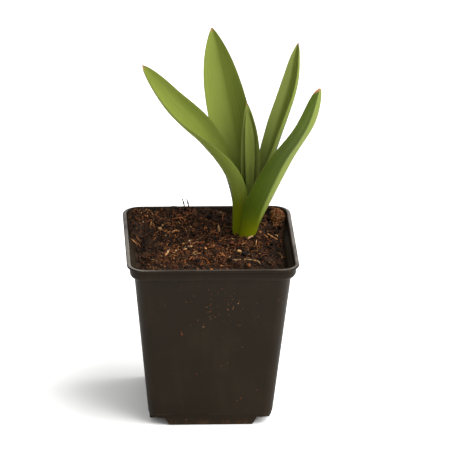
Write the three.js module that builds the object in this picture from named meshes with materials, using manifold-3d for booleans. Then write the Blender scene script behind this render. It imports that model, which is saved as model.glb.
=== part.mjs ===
// A young ornamental allium in a square black nursery pot.
// Millimetres, +Z up. The origin is the middle of the pot's flat foot; the pot's front faces -Y.
import * as THREE from 'three';
import { ParametricGeometry } from 'three/addons/geometries/ParametricGeometry.js';
import { mergeVertices } from 'three/addons/utils/BufferGeometryUtils.js';
import Module from 'manifold-3d';

const wasm = await Module();
wasm.setup();

// ---- driving dimensions ----------------------------------------------------------------
const GAP = 0.3;

const POT = {
  height: 94,
  rimHalf: 45,
  rimRadius: 10,
  lipThickness: 1.8,
  collarHalf: 43.4,
  collarBottom: 89.4,
  stepZ: 86.6,
  topHalf: 41,
  topRadius: 8,
  bottomHalf: 32.2,
  bottomRadius: 6,
  footStepZ: 6.4,
  footStep: 0.3,
  wall: 1.2,
};

const FOOT = {
  armHalfAtFloor: 21.7,
  armHalfAtCorner: 24.4,
  cornerRise: 4.6,
};

const DRAIN = { radius: 2.5, offset: 28 };

const SOIL_LEVEL = 86.8;
const NECK = { x: 18.5, y: 20, radius: 7, bottom: 80 };

const BULB = { bottom: 52, belly: 62, bellyRadius: 11, shoulderRadius: 4.4, top: 80.6 };

// Loose pieces lying on the peat: middle, half sizes and heading in degrees.
const FLAKES = [
  { name: 'bark_chip', at: [-23.5, 23], size: [2.6, 1.4, 0.8], heading: -35, color: 0xa5602f },
  { name: 'wood_chip', at: [-20, -3.5], size: [2.8, 1.5, 0.8], heading: 20, color: 0xc9a67c },
  { name: 'wood_splinter', at: [5.8, 22], size: [0.7, 0.6, 3.6], heading: 15, color: 0xc79a66 },
  { name: 'peat_lump', at: [38, 33], size: [3.4, 3.4, 3.6], heading: 0, color: 0x7a4f2c },
];
const MOSS = { base: [[-11.5, 39.5], [-9.2, 39.2]], lean: [-1.4, 0.6], height: 8, radius: 0.55 };
const ROOTLET = { radius: 0.45, path: [[10.5, -16], [17, -14.5], [22.5, -14.8], [25, -17.5], [25.5, -22]] };

const LEAF_THICKNESS = { middle: 1.2, base: 0.7 };

// Each leaf is a channel swept along its spine. `halfWidth` is measured along the channel's arc,
// `fold` is the angle that arc turns through, and `facing` is the heading of the inner face.
const LEAVES = [
  {
    name: 'leaf_centre_inner',
    spine: [[19, 22, 81], [21.5, 21.5, 101], [22, 21.5, 121], [21.5, 21.5, 141], [20, 21.5, 157.5]],
    baseHalfWidth: 1.7, halfWidth: 2.9, widestAt: 0.65, flareFrom: 0.1, tipPower: 2.4, tipRound: 0.86,
    foldBase: 110, foldTip: 100, foldFall: 2.5, facingBase: 259, facingTip: 267, color: 0x5f7a22,
  },
  {
    name: 'leaf_centre_outer',
    spine: [[19, 23, 81], [21, 23.5, 101], [22.5, 24, 121.5], [22, 24, 141], [20, 24, 161]],
    baseHalfWidth: 3.4, halfWidth: 6, widestAt: 0.55, flareFrom: 0.1, tipPower: 2.35, tipRound: 0.85,
    foldBase: 140, foldTip: 106, foldFall: 2.5, facingBase: 260, facingTip: 261, color: 0x566b25,
  },
  {
    name: 'leaf_left',
    spine: [[13.8, 18.3, 81], [11.5, 21, 115], [-4, 23.5, 138.5], [-22.5, 22, 160], [-35.5, 21, 183]],
    baseHalfWidth: 8.1, halfWidth: 12.7, widestAt: 0.32, flareFrom: 0, tipPower: 2.45, tipRound: 0.75,
    foldBase: 185, foldTip: 105, foldFall: 0.85, facingBase: 377, facingTip: 318, color: 0x7f9838,
  },
  {
    name: 'leaf_right_back',
    spine: [[23.3, 19.5, 81], [28.5, 25, 110.5], [37, 28, 140], [45, 32, 167.5], [47, 35, 190]],
    baseHalfWidth: 5, halfWidth: 9.7, widestAt: 0.45, flareFrom: 0.14, tipPower: 2.5, tipRound: 0.86,
    foldBase: 116, foldTip: 120, foldFall: 2.1, facingBase: 173, facingTip: 217, color: 0x6d8430,
  },
  {
    name: 'leaf_back_tall',
    spine: [[16.3, 25.6, 81], [16.5, 31.5, 110], [12.5, 37.5, 138.5], [6.5, 42.5, 168.5], [2, 47.5, 193.5]],
    baseHalfWidth: 7.9, halfWidth: 12, widestAt: 0.5, flareFrom: 0.12, tipPower: 2.3, tipRound: 0.84,
    foldBase: 150, foldTip: 52, foldFall: 2.5, facingBase: 293, facingTip: 272, color: 0x74883a,
  },
  {
    name: 'leaf_right_front',
    spine: [[21.9, 15.1, 81], [26, 12, 101.5], [37, 8.5, 131], [49, 0.5, 156], [55, -6, 179.5]],
    baseHalfWidth: 7.6, halfWidth: 10.7, widestAt: 0.35, flareFrom: 0.1, tipPower: 2.6, tipRound: 0.5,
    foldBase: 145, foldTip: 20, foldFall: 2.4, facingBase: 132, facingTip: 140, color: 0x5e7a20,
  },
];

// ---- solids ------------------------------------------------------------------------------
function toSolid(geometry) {
  const bare = geometry.clone();
  bare.deleteAttribute('normal');
  bare.deleteAttribute('uv');
  const merged = mergeVertices(bare, 1e-4);
  const index = merged.index.array;
  const triVerts = [];
  for (let i = 0; i < index.length; i += 3) {
    const [a, b, c] = [index[i], index[i + 1], index[i + 2]];
    if (a !== b && b !== c && c !== a) triVerts.push(a, b, c);
  }
  return new wasm.Manifold(new wasm.Mesh({
    numProp: 3,
    vertProperties: new Float32Array(merged.attributes.position.array),
    triVerts: new Uint32Array(triVerts),
  }));
}

function toGeometry(solid) {
  const mesh = solid.getMesh();
  const geometry = new THREE.BufferGeometry();
  geometry.setAttribute('position', new THREE.BufferAttribute(new Float32Array(mesh.vertProperties), 3));
  geometry.setIndex(new THREE.BufferAttribute(new Uint32Array(mesh.triVerts), 1));
  return geometry;
}

function makeMesh(name, solid, color, roughness) {
  const material = new THREE.MeshStandardMaterial({ color, roughness, metalness: 0 });
  const flat = toGeometry(solid).toNonIndexed();
  flat.computeVertexNormals();
  const mesh = new THREE.Mesh(flat, material);
  mesh.name = name;
  return mesh;
}

// ---- pot ---------------------------------------------------------------------------------
const CORNER_STEPS = 6;
const ROUND_SQUARE_STEPS = 4 * (CORNER_STEPS + 1);

// The nth point round a square of the given half width and corner radius, counter-clockwise.
function roundSquarePoint(n, half, radius) {
  const corner = Math.floor(n / (CORNER_STEPS + 1)) % 4;
  const step = n % (CORNER_STEPS + 1);
  const angle = (corner + step / CORNER_STEPS) * Math.PI / 2;
  const cx = (half - radius) * (corner === 0 || corner === 3 ? 1 : -1);
  const cy = (half - radius) * (corner < 2 ? 1 : -1);
  return [cx + radius * Math.cos(angle), cy + radius * Math.sin(angle)];
}

// A closed solid from a list of levels [z, half width, corner radius], with flat ends.
function loftSquare(levels) {
  const first = [levels[0][0], 0, 0];
  const last = [levels[levels.length - 1][0], 0, 0];
  const rows = [first, ...levels, last];
  const surface = (u, v, target) => {
    const [z, half, radius] = rows[Math.round(v * (rows.length - 1))];
    const n = Math.round(u * ROUND_SQUARE_STEPS) % ROUND_SQUARE_STEPS;
    const [x, y] = roundSquarePoint(n, half, radius);
    target.set(x, y, z);
  };
  return toSolid(new ParametricGeometry(surface, ROUND_SQUARE_STEPS, rows.length - 1));
}

function wallHalfAt(z) {
  const share = z / POT.stepZ;
  return POT.bottomHalf + (POT.topHalf - POT.bottomHalf) * share;
}

// The tapered inside of the pot, drawn in by `inset` from the outer face, up to `top`.
function taperedBlock(inset, bottom, top) {
  const level = (z) => {
    const share = Math.min(z / POT.stepZ, 1);
    const radius = POT.bottomRadius + (POT.topRadius - POT.bottomRadius) * share - inset;
    return [z, wallHalfAt(z) - inset, radius];
  };
  return loftSquare([level(bottom), level(top)]);
}

// The four blocks that lift the pot's corners clear of the ground, grown by `grow` all round.
function cornerNotches(grow) {
  const low = FOOT.armHalfAtFloor - grow;
  const high = FOOT.armHalfAtCorner - grow;
  const reach = 60;
  const rise = FOOT.cornerRise + grow;
  let all = null;
  for (const [sx, sy] of [[1, 1], [-1, 1], [-1, -1], [1, -1]]) {
    const block = new THREE.BoxGeometry(1, 1, 1);
    const at = block.attributes.position;
    for (let i = 0; i < at.count; i += 1) {
      const upper = at.getZ(i) > 0;
      const near = upper ? high : low;
      const x = at.getX(i) * sx > 0 ? reach : near;
      const y = at.getY(i) * sy > 0 ? reach : near;
      at.setXYZ(i, x * sx, y * sy, upper ? rise : -10);
    }
    const solid = toSolid(block);
    all = all ? all.add(solid) : solid;
  }
  return all;
}

function verticalDrum(radius, bottom, top, x, y) {
  const drum = new THREE.CylinderGeometry(radius, radius, top - bottom, 16);
  drum.rotateX(Math.PI / 2);
  drum.translate(x, y, (top + bottom) / 2);
  return toSolid(drum);
}

function buildPot() {
  const lipBottom = POT.height - POT.lipThickness;
  const collarRadius = POT.rimRadius - (POT.rimHalf - POT.collarHalf);
  const outer = loftSquare([
    [0, POT.bottomHalf - POT.footStep, POT.bottomRadius],
    [POT.footStepZ, wallHalfAt(POT.footStepZ) - POT.footStep, POT.bottomRadius],
    [POT.footStepZ + 0.3, wallHalfAt(POT.footStepZ + 0.3), POT.bottomRadius + 0.15],
    [POT.stepZ, POT.topHalf, POT.topRadius],
    [POT.stepZ + 0.8, POT.collarHalf - 0.8, collarRadius - 0.8],
    [POT.collarBottom, POT.collarHalf, collarRadius],
    [lipBottom, POT.collarHalf, collarRadius],
    [lipBottom + 0.3, POT.rimHalf - 0.3, POT.rimRadius - 0.3],
    [lipBottom + 0.9, POT.rimHalf, POT.rimRadius],
    [POT.height - 0.5, POT.rimHalf - 0.15, POT.rimRadius],
    [POT.height, POT.rimHalf - 0.7, POT.rimRadius - 0.6],
  ]);
  const mouthHalf = POT.collarHalf - POT.wall;
  const mouth = loftSquare([
    [POT.stepZ + 0.5, POT.topHalf - POT.wall, POT.topRadius - POT.wall],
    [POT.collarBottom + 0.6, mouthHalf, collarRadius - POT.wall],
    [POT.height - 0.6, mouthHalf + 0.5, collarRadius - 0.7],
    [POT.height + 1, mouthHalf + 1.7, collarRadius],
  ]);
  const hollow = taperedBlock(POT.wall, POT.wall, POT.stepZ + 1).subtract(cornerNotches(POT.wall));
  let pot = outer.subtract(cornerNotches(0)).subtract(hollow.add(mouth));
  for (const [sx, sy] of [[1, 1], [-1, 1], [-1, -1], [1, -1]]) {
    const drain = verticalDrum(DRAIN.radius, 0, 10, sx * DRAIN.offset, sy * DRAIN.offset);
    pot = pot.subtract(drain);
  }
  return pot;
}

// ---- soil and bulb -------------------------------------------------------------------------
// The height of the peat: low in the front corners, banked up at the back and round the neck.
function soilHeight(x, y) {
  const bank = 4.8 * THREE.MathUtils.smoothstep(y, 10, 40) - 1.6 * THREE.MathUtils.smoothstep(-y, 12, 38);
  const cornerDip = 2.2 * Math.exp(-((Math.abs(x) - 36) ** 2 + (y + 34) ** 2) / 120);
  const mound = Math.exp(-((x - NECK.x) ** 2 + (y - NECK.y) ** 2) / 220);
  const lumps = 0.5 * Math.sin(x * 0.31 + 1.3) * Math.cos(y * 0.27 + 0.6);
  return SOIL_LEVEL + bank - cornerDip + mound + lumps;
}

const SOIL_CELLS = 14;

function soilTopBlock(lift = 0) {
  const size = 2 * POT.rimHalf;
  const block = new THREE.BoxGeometry(size, size, 2, SOIL_CELLS, SOIL_CELLS, 1);
  const at = block.attributes.position;
  for (let i = 0; i < at.count; i += 1) {
    const top = soilHeight(at.getX(i), at.getY(i)) + lift;
    at.setZ(i, at.getZ(i) > 0 ? top : -5);
  }
  return toSolid(block);
}

function lathe(profile, x, y) {
  const points = profile.map(([r, z]) => new THREE.Vector2(r, z));
  const turned = new THREE.LatheGeometry(points, 20);
  turned.rotateX(Math.PI / 2);
  turned.translate(x, y, 0);
  return toSolid(turned);
}

function bulbProfile(grow) {
  const { bottom, belly, bellyRadius, shoulderRadius, top } = BULB;
  return [
    [0, bottom - grow],
    [4.5 + grow, bottom - grow],
    [9 + grow, bottom + 4],
    [bellyRadius + grow, belly],
    [9.6 + grow, belly + 6],
    [6.4 + grow, belly + 12],
    [shoulderRadius + grow, top - 2],
    [shoulderRadius - 1 + grow, top + grow],
    [0, top + grow],
  ];
}

function buildSoil() {
  const inset = POT.wall + GAP;
  const body = taperedBlock(inset, inset, POT.stepZ + 0.4);
  const shoulder = POT.collarHalf - POT.wall - GAP;
  const cap = loftSquare([
    [POT.stepZ, POT.topHalf - inset - 0.2, POT.topRadius - inset],
    [POT.collarBottom + 1, shoulder - 0.3, POT.topRadius - inset],
    [POT.height, shoulder - 0.3, POT.topRadius - inset],
  ]);
  const funnel = lathe([
    [0, NECK.bottom - 1],
    [NECK.radius, NECK.bottom - 1],
    [NECK.radius + 0.5, NECK.bottom + 4],
    [NECK.radius + 3.5, 96],
    [0, 96],
  ], NECK.x, NECK.y);
  const pocket = lathe(bulbProfile(GAP), NECK.x, NECK.y).add(funnel);
  return body.add(cap).subtract(cornerNotches(inset)).intersect(soilTopBlock()).subtract(pocket);
}

// ---- leaves --------------------------------------------------------------------------------
function leafHalfWidth(leaf, t) {
  const flare = THREE.MathUtils.smoothstep(t, leaf.flareFrom, leaf.widestAt);
  const full = leaf.baseHalfWidth + (leaf.halfWidth - leaf.baseHalfWidth) * flare;
  const past = Math.max((t - leaf.widestAt) / (1 - leaf.widestAt), 0);
  return full * Math.max(1 - past ** leaf.tipPower, 0) ** leaf.tipRound;
}

function leafFold(leaf, t) {
  const degrees = leaf.foldTip + (leaf.foldBase - leaf.foldTip) * (1 - t) ** leaf.foldFall;
  return THREE.MathUtils.degToRad(degrees);
}

// Directions at t: along the spine, across to the leaf's right, and out of its inner face.
function leafFrame(leaf, curve, t) {
  const along = curve.getPoint(Math.min(t + 0.002, 1)).sub(curve.getPoint(Math.max(t - 0.002, 0)));
  along.normalize();
  const heading = THREE.MathUtils.degToRad(THREE.MathUtils.lerp(leaf.facingBase, leaf.facingTip, t));
  const inward = new THREE.Vector3(Math.cos(heading), Math.sin(heading), 0);
  inward.addScaledVector(along, -inward.dot(along)).normalize();
  const across = new THREE.Vector3().crossVectors(along, inward);
  return { across, inward };
}

const LEAF_ROWS = 18;
const LEAF_ROUND = 14;

function buildLeaf(leaf, grow) {
  const points = leaf.spine.map((p) => new THREE.Vector3(...p));
  const curve = new THREE.CatmullRomCurve3(points, false, 'catmullrom', 0.5);
  const surface = (u, v, target) => {
    const t = v * 0.995;
    const { across, inward } = leafFrame(leaf, curve, t);
    const half = leafHalfWidth(leaf, t);
    const bend = leafFold(leaf, t) / 2;
    const radius = half / bend;
    const turn = (u % 1) * 2 * Math.PI;
    const angle = Math.cos(turn) * (bend + grow / radius);
    const endTaper = Math.min(v * LEAF_ROWS, (1 - v) * LEAF_ROWS, 1);
    const middle = THREE.MathUtils.lerp(LEAF_THICKNESS.base, LEAF_THICKNESS.middle, Math.min(t * 3, 1));
    const thickness = (middle * Math.min(half / 2.5, 1) / 2 + grow) * endTaper;
    const reach = radius + thickness * Math.sin(turn);
    target.copy(curve.getPoint(t));
    target.addScaledVector(across, reach * Math.sin(angle));
    target.addScaledVector(inward, radius - reach * Math.cos(angle));
  };
  return toSolid(new ParametricGeometry(surface, LEAF_ROUND, LEAF_ROWS));
}

function buildLeaves() {
  const meshes = [];
  const placed = [];
  for (const leaf of LEAVES) {
    let solid = buildLeaf(leaf, 0);
    for (const other of placed) solid = solid.subtract(buildLeaf(other, GAP));
    placed.push(leaf);
    meshes.push(makeMesh(leaf.name, solid, leaf.color, 0.5));
  }
  return meshes;
}

// ---- loose pieces on the peat ----------------------------------------------------------------
function restOnSoil(geometry) {
  return toSolid(geometry).subtract(soilTopBlock(GAP));
}

function buildFlake({ at: [x, y], size, heading }) {
  const flake = new THREE.SphereGeometry(1, 10, 6);
  flake.scale(...size);
  flake.rotateZ(THREE.MathUtils.degToRad(heading));
  flake.translate(x, y, soilHeight(x, y) + GAP + 0.35 * size[2]);
  return restOnSoil(flake);
}

function buildMossStalk([x, y]) {
  const stalk = new THREE.CylinderGeometry(0.2, MOSS.radius, MOSS.height, 7, 3);
  stalk.rotateX(Math.PI / 2);
  const at = stalk.attributes.position;
  for (let i = 0; i < at.count; i += 1) {
    const share = at.getZ(i) / MOSS.height + 0.5;
    at.setX(i, at.getX(i) + x + MOSS.lean[0] * share * share);
    at.setY(i, at.getY(i) + y + MOSS.lean[1] * share * share);
  }
  stalk.translate(0, 0, soilHeight(x, y) + MOSS.height / 2 - 0.5);
  return restOnSoil(stalk);
}

function buildRootlet() {
  const lift = GAP + 0.6 * ROOTLET.radius;
  const points = ROOTLET.path.map(([x, y]) => new THREE.Vector3(x, y, soilHeight(x, y) + lift));
  const section = new THREE.Shape().absarc(0, 0, ROOTLET.radius, 0, 2 * Math.PI);
  const tube = new THREE.ExtrudeGeometry(section, {
    steps: 24,
    curveSegments: 4,
    extrudePath: new THREE.CatmullRomCurve3(points),
  });
  return toSolid(tube).subtract(soilTopBlock(GAP / 2));
}

// ---- assembly ------------------------------------------------------------------------------
const group = new THREE.Group();
group.add(makeMesh('nursery_pot', buildPot(), 0x2b2621, 0.45));
group.add(makeMesh('potting_soil', buildSoil(), 0x3a261a, 0.95));
group.add(makeMesh('allium_bulb', lathe(bulbProfile(0), NECK.x, NECK.y), 0xc9b48c, 0.6));
for (const mesh of buildLeaves()) group.add(mesh);
for (const flake of FLAKES) group.add(makeMesh(flake.name, buildFlake(flake), flake.color, 0.9));
group.add(makeMesh('moss_stalk_left', buildMossStalk(MOSS.base[0]), 0x5b4a2a, 0.9));
group.add(makeMesh('moss_stalk_right', buildMossStalk(MOSS.base[1]), 0x5b4a2a, 0.9));
group.add(makeMesh('rootlet', buildRootlet(), 0xb58a5c, 0.8));

export default group;
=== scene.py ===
"""A young ornamental allium in a square black nursery pot, on a plain pale floor."""

import logging
import math
import random
from dataclasses import dataclass, field
from enum import Enum
from typing import Callable

import bmesh
import bpy
from mathutils import Matrix, Vector, noise


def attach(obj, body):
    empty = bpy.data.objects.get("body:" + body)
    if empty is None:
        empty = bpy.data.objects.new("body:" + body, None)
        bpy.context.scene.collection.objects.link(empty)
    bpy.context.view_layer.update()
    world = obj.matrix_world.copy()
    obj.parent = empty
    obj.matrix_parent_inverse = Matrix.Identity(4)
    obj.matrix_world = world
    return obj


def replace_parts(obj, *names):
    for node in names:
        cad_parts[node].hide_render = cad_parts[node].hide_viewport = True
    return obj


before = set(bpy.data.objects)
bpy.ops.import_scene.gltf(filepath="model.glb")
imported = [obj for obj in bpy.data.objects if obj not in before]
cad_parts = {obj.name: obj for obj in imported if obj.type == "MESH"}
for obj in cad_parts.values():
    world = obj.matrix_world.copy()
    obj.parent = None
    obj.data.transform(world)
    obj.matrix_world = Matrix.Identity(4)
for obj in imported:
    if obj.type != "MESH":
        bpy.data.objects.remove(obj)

log = logging.getLogger("potted_allium")

MM = 0.001
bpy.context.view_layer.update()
Triple = tuple[float, float, float]


# ---------------------------------------------------------------- small helpers
def smoothstep(value: float, low: float, high: float) -> float:
    """Rises smoothly from 0 at low to 1 at high."""
    share = min(max((value - low) / (high - low), 0.0), 1.0)
    return share * share * (3.0 - 2.0 * share)


def mix(low: float, high: float, share: float) -> float:
    """The value a share of the way from low to high."""
    return low + (high - low) * share


def add_piece(bm: bmesh.types.BMesh, name: str, material: bpy.types.Material) -> bpy.types.Object:
    """Turns a bmesh in millimetres into a smooth piece in metres that rides on the plant's body.

    Args:
        bm: The finished bmesh, in millimetres; it is freed.
        name: The piece's name.
        material: Its material.

    Returns:
        The new object, at the origin.
    """
    bmesh.ops.scale(bm, vec=(MM, MM, MM), verts=bm.verts)
    for face in bm.faces:
        face.smooth = True
    mesh = bpy.data.meshes.new(name)
    bm.to_mesh(mesh)
    bm.free()
    mesh.materials.append(material)
    piece = bpy.data.objects.new(name, mesh)
    bpy.context.scene.collection.objects.link(piece)
    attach(piece, "root")
    log.info("%s: %d faces", name, len(mesh.polygons))
    return piece


def wrap_grid(bm: bmesh.types.BMesh, around: int, along: int,
              place: Callable[[float, float], Vector]) -> list[bmesh.types.BMVert]:
    """Bends a flat grid into a closed tube, whose ends the placing rule draws together.

    Args:
        bm: The bmesh that gets the grid.
        around: Faces round the tube.
        along: Faces along it.
        place: Gives the point for a share round the tube and a share along it.

    Returns:
        The tube's vertices, before its seam is merged.
    """
    made = bmesh.ops.create_grid(bm, x_segments=around, y_segments=along, size=1.0)
    for vert in made["verts"]:
        vert.co = place((vert.co.x + 1) / 2, (vert.co.y + 1) / 2)
    return made["verts"]


def through_points(points: list[Vector], share: float) -> Vector:
    """A point on the smooth curve through all the points, a share of the way along."""
    spans = len(points) - 1
    place = min(max(share, 0.0), 1.0) * spans
    span = min(int(place), spans - 1)
    u = place - span
    start, end = points[span], points[span + 1]
    before = points[span - 1] if span > 0 else start * 2 - end
    after = points[span + 2] if span + 2 <= spans else end * 2 - start
    leave = (end - before) / 2
    arrive = (after - start) / 2
    square = (end - start) * 3 - leave * 2 - arrive
    cube = (start - end) * 2 + leave + arrive
    return start + leave * u + square * (u * u) + cube * (u * u * u)


class Shader:
    """Builds one node material with short calls."""

    def __init__(self, name: str) -> None:
        """Starts an empty material with a principled shader.

        Args:
            name: The material's name.
        """
        self.material = bpy.data.materials.new(name)
        self.material.use_nodes = True
        self.tree = self.material.node_tree
        self.principled = self.tree.nodes["Principled BSDF"]

    def node(self, kind: str, values: dict[str, object] | None = None, **settings: object) -> bpy.types.Node:
        """Adds a node.

        Args:
            kind: The node's type without its ShaderNode prefix.
            values: Input values or output sockets to link, by input name.
            settings: The node's own settings.

        Returns:
            The node.
        """
        made = self.tree.nodes.new("ShaderNode" + kind)
        for key, value in settings.items():
            setattr(made, key, value)
        for key, value in (values or {}).items():
            self.feed(made.inputs[key], value)
        return made

    def feed(self, socket: bpy.types.NodeSocket, value: object) -> None:
        """Links an output socket into a socket, or sets its value."""
        if isinstance(value, bpy.types.NodeSocket):
            self.tree.links.new(value, socket)
        else:
            socket.default_value = value

    def set(self, name: str, value: object) -> None:
        """Feeds one of the principled shader's sockets."""
        self.feed(self.principled.inputs[name], value)

    def attribute(self, name: str) -> bpy.types.NodeSocket:
        """The value of a float attribute on the piece."""
        return self.node("Attribute", attribute_name=name).outputs["Fac"]

    def tint(self, name: str) -> bpy.types.NodeSocket:
        """The value of a colour attribute on the piece."""
        return self.node("Attribute", attribute_name=name).outputs["Color"]

    def place(self, scale: Triple = (1, 1, 1)) -> bpy.types.NodeSocket:
        """The object's own coordinates, stretched by a scale."""
        coords = self.node("TexCoord").outputs["Object"]
        return self.node("Mapping", {"Vector": coords, "Scale": scale}).outputs["Vector"]

    def noise(self, vector: bpy.types.NodeSocket, scale: float, detail: float = 4.0,
              roughness: float = 0.55) -> bpy.types.NodeSocket:
        """Soft noise over a vector, from about 0.3 to 0.7."""
        values = {"Vector": vector, "Scale": scale, "Detail": detail, "Roughness": roughness}
        return self.node("TexNoise", values).outputs["Fac"]

    def math(self, operation: str, first: object, second: object = 0.0) -> bpy.types.NodeSocket:
        """One arithmetic step on one or two values."""
        made = self.node("Math", operation=operation)
        self.feed(made.inputs[0], first)
        self.feed(made.inputs[1], second)
        return made.outputs[0]

    def span(self, value: object, low: float, high: float, to_low: float = 0.0,
             to_high: float = 1.0) -> bpy.types.NodeSocket:
        """Maps low..high smoothly onto to_low..to_high, and holds it there outside."""
        made = self.node("MapRange", interpolation_type="SMOOTHSTEP")
        for key, number in (("Value", value), ("From Min", low), ("From Max", high),
                            ("To Min", to_low), ("To Max", to_high)):
            self.feed(made.inputs[key], number)
        return made.outputs["Result"]

    def blend(self, share: object, first: object, second: object,
              blend_type: str = "MIX") -> bpy.types.NodeSocket:
        """Mixes two colours by a share."""
        made = self.node("Mix", data_type="RGBA", blend_type=blend_type)
        self.feed(made.inputs[0], share)
        self.feed(made.inputs[6], first)
        self.feed(made.inputs[7], second)
        return made.outputs[2]

    def bump(self, height: bpy.types.NodeSocket, depth: float, strength: float = 1.0,
             under: bpy.types.NodeSocket | None = None) -> bpy.types.NodeSocket:
        """A bump of a depth in metres, over another one if given."""
        values = {"Height": height, "Distance": depth, "Strength": strength}
        if under is not None:
            values["Normal"] = under
        return self.node("Bump", values).outputs["Normal"]


def rgb(red: float, green: float, blue: float) -> tuple[float, float, float, float]:
    """A linear colour from screen values of 0 to 255."""
    def linear(value: float) -> float:
        """One channel, made linear."""
        share = value / 255
        return share / 12.92 if share <= 0.04045 else ((share + 0.055) / 1.055) ** 2.4
    return (linear(red), linear(green), linear(blue), 1.0)


Colour = tuple[float, float, float, float]


# ---------------------------------------------------------------- finishes
@dataclass(frozen=True)
class LeafFinish:
    """Waxy green blade with fine parallel veins, pale base, thin warm margins, a pink-brown tip and painted
    highlights.
    """

    name: str = "leaf_blade"
    inner: Colour = rgb(100, 110, 44)
    inner_deep: Colour = rgb(88, 99, 35)
    # Painted highlight: the inner face's colour where the light falls on it.
    inner_painted_lit: Colour = rgb(138, 150, 76)
    # The outer face is darker green, partly its own darker back and partly painted shade.
    outer: Colour = rgb(60, 74, 14)
    outer_deep: Colour = rgb(50, 63, 9)
    # Painted highlight: the outer face's colour on its lit side.
    outer_painted_lit: Colour = rgb(106, 118, 48)
    base: Colour = rgb(108, 114, 6)
    margin: Colour = rgb(98, 92, 54)
    tip: Colour = rgb(138, 94, 66)
    roughness: float = 0.52

    def build(self) -> bpy.types.Material:
        """Makes the material.

        Returns:
            The material, which reads the blade's across, along and face attributes.
        """
        shade = Shader(self.name)
        across, along, face = (shade.attribute(key) for key in ("across", "along", "face"))
        fibre = shade.node("CombineXYZ", {"X": shade.math("MULTIPLY", across, 26.0),
                                          "Y": shade.math("MULTIPLY", along, 2.2)}).outputs[0]
        veins = shade.noise(fibre, 1.0, 2.0, 0.6)
        fine = shade.noise(fibre, 2.9, 2.0, 0.5)
        cloud = shade.noise(shade.place(), 55.0, 3.0)
        tone = shade.span(shade.math("ADD", shade.math("MULTIPLY", veins, 0.75),
                                     shade.math("MULTIPLY", cloud, 0.25)), 0.36, 0.64)
        inner = shade.blend(tone, self.inner_deep, self.inner)
        # Painted highlight: the pale attribute lightens the inner face on its lit side.
        inner = shade.blend(shade.attribute("pale"), inner, self.inner_painted_lit)
        outer = shade.blend(tone, self.outer_deep, self.outer)
        # Painted highlight: the turned attribute, frayed along the veins, lightens the outer face on its lit
        # side.
        turned = shade.math("ADD", shade.attribute("turned"),
                            shade.math("MULTIPLY", shade.math("SUBTRACT", veins, 0.5), 0.6))
        outer = shade.blend(shade.span(turned, 0.15, 0.9), outer, self.outer_painted_lit)
        # Inner against outer face: the outer is darker, partly by nature and partly as painted shade.
        colour = shade.blend(shade.span(face, -0.25, 0.25), inner, outer)
        low = shade.math("ADD", along, shade.math("MULTIPLY", shade.math("SUBTRACT", veins, 0.5), 0.10))
        colour = shade.blend(shade.span(low, 0.10, 0.30, 0.85, 0.0), colour, self.base)
        edge = shade.math("ABSOLUTE", across)
        wander = shade.math("MULTIPLY", shade.math("SUBTRACT", cloud, 0.5), 0.012)
        rim = shade.span(shade.math("ADD", edge, wander), 0.975, 0.996, 0.0, 0.8)
        colour = shade.blend(shade.math("MULTIPLY", rim, shade.span(along, 0.25, 0.5)), colour, self.margin)
        point = shade.span(shade.math("ADD", along, shade.math("MULTIPLY", edge, 0.006)), 0.974, 1.0)
        colour = shade.blend(point, colour, self.tip)
        shade.set("Base Color", colour)
        shade.set("Roughness", shade.span(fine, 0.3, 0.7, self.roughness - 0.06, self.roughness + 0.1))
        shade.set("Specular IOR Level", 0.03)
        shade.set("Subsurface Weight", 0.12)
        shade.set("Subsurface Radius", (0.6, 1.0, 0.25))
        shade.set("Subsurface Scale", 0.0012)
        ribs = shade.bump(veins, 0.00016, 0.6)
        shade.set("Normal", shade.bump(fine, 0.00006, 0.5, ribs))
        return shade.material


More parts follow.
